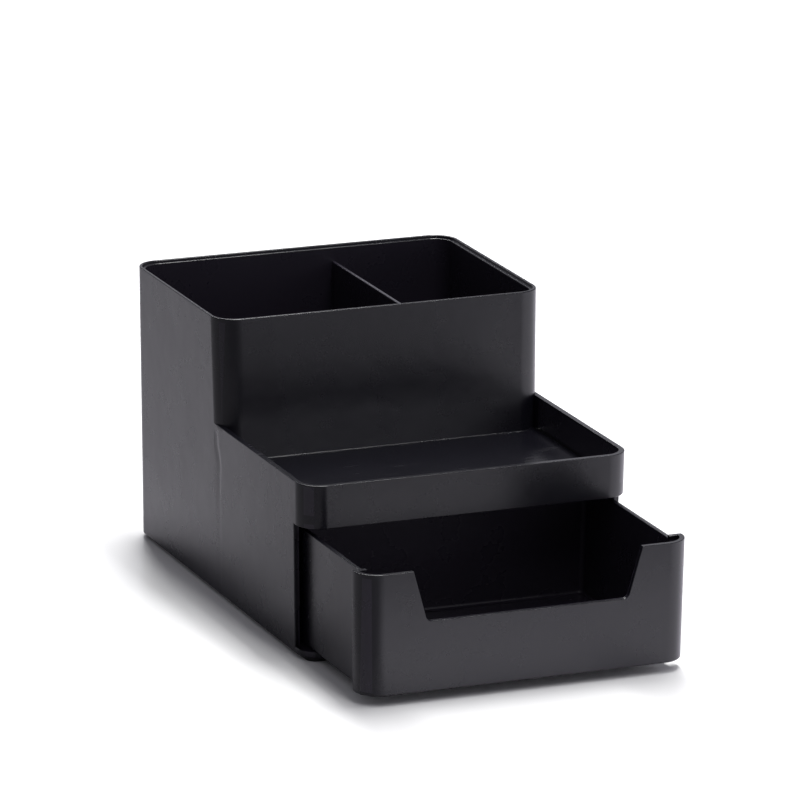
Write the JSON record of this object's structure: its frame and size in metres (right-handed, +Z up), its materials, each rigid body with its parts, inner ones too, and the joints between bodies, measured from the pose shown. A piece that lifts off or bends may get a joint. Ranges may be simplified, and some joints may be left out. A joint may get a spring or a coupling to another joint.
{
  "type": "desk organizer",
  "caption": "Stepped desk organizer: a divided bin at the back, an open tray in front of it, and a drawer below the tray that slides out and has a finger notch in its front.",
  "frame": {"origin": "on the desk, in the middle of the footprint with the drawer standing out as stored; the housing's own middle is 28.3 mm behind it", "axes": "+X to the right seen from the front, +Y to the back, +Z up; the drawer slides out along -Y"},
  "size_m": [0.135, 0.2402, 0.1111],
  "materials": {
    "housing_plastic": "satin charcoal, moulded",
    "drawer_plastic": "satin charcoal, moulded",
    "foot_pad": "matte"
  },
  "bodies": {
    "stand": {"housing": "housing_plastic", "feet": "foot_pad"},
    "slider": {"drawer": "drawer_plastic"}
  },
  "joints": [
    {"name": "drawer_slide", "type": "slide", "parent": "stand", "child": "slider", "axis": [0, -1, 0], "range_m": [-0.0566, 0.0154]}
  ]
}
